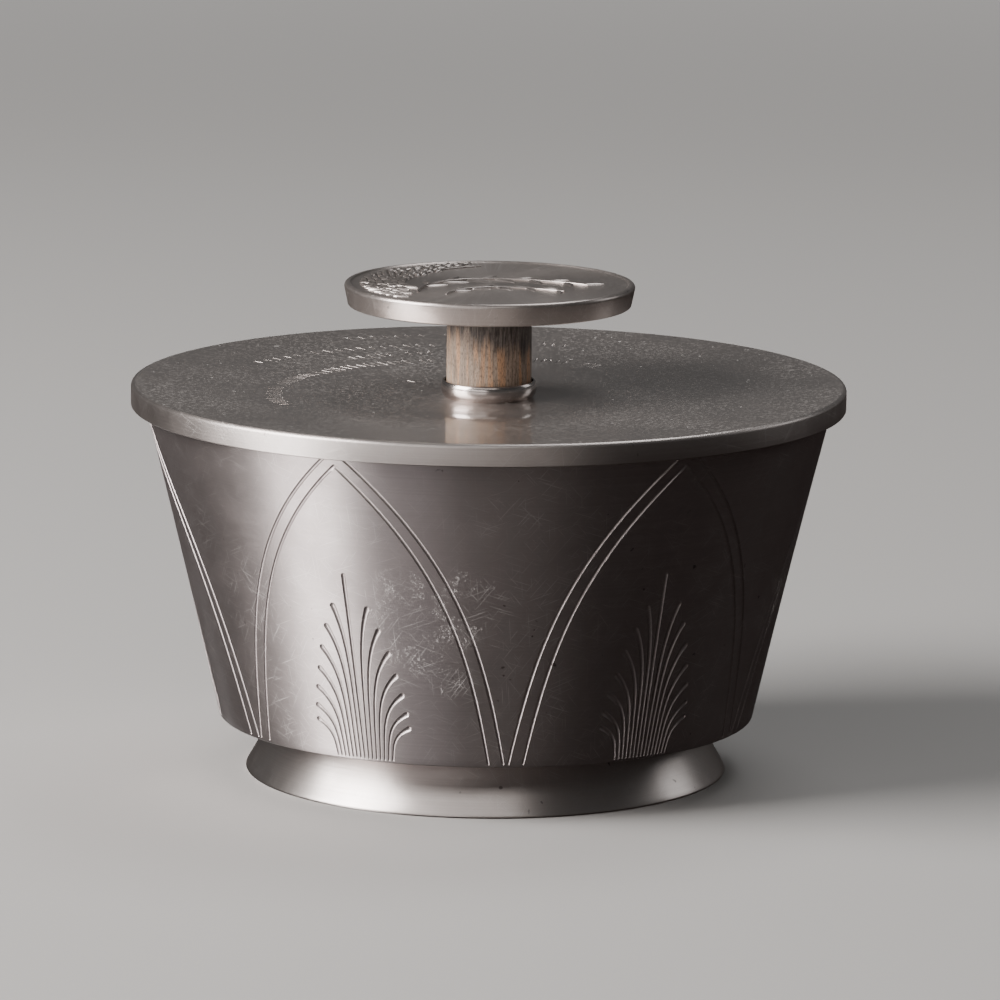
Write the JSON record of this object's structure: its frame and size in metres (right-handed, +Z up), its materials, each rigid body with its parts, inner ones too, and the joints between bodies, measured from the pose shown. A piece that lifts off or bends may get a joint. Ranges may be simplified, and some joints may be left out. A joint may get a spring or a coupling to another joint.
{
  "type": "lidded sugar bowl",
  "caption": "Conical pewter bowl on a flared foot, with a dished lift-off lid whose disc-shaped knob stands on a wooden stem.",
  "frame": {"origin": "centre of the circle that the foot stands on", "axes": "+Z up along the axis of the bowl, lid and knob; -Y is the front, towards the viewer of the engraved arches"},
  "size_m": [0.15, 0.15, 0.1036],
  "materials": {
    "pewter": "satin aged pewter with fine spinning marks",
    "polished_pewter": "polished pewter",
    "stained_wood": "dark stained wood, worn grey",
    "steel": "plain zinc-plated steel"
  },
  "bodies": {
    "bowl": {"bowl_body": "pewter", "foot_ring": "pewter"},
    "lid": {"lid_plate": "pewter", "lid_locating_collar": "pewter", "knob_ferrule": "polished_pewter", "knob_stem": "stained_wood", "knob_disc": "pewter", "knob_stud": "steel", "knob_washer": "steel", "knob_nut": "steel"}
  },
  "joints": [
    {"name": "lid_lift", "type": "slide", "parent": "bowl", "child": "lid", "axis": [0, 0, 1], "range_m": [0, 0.12]}
  ]
}
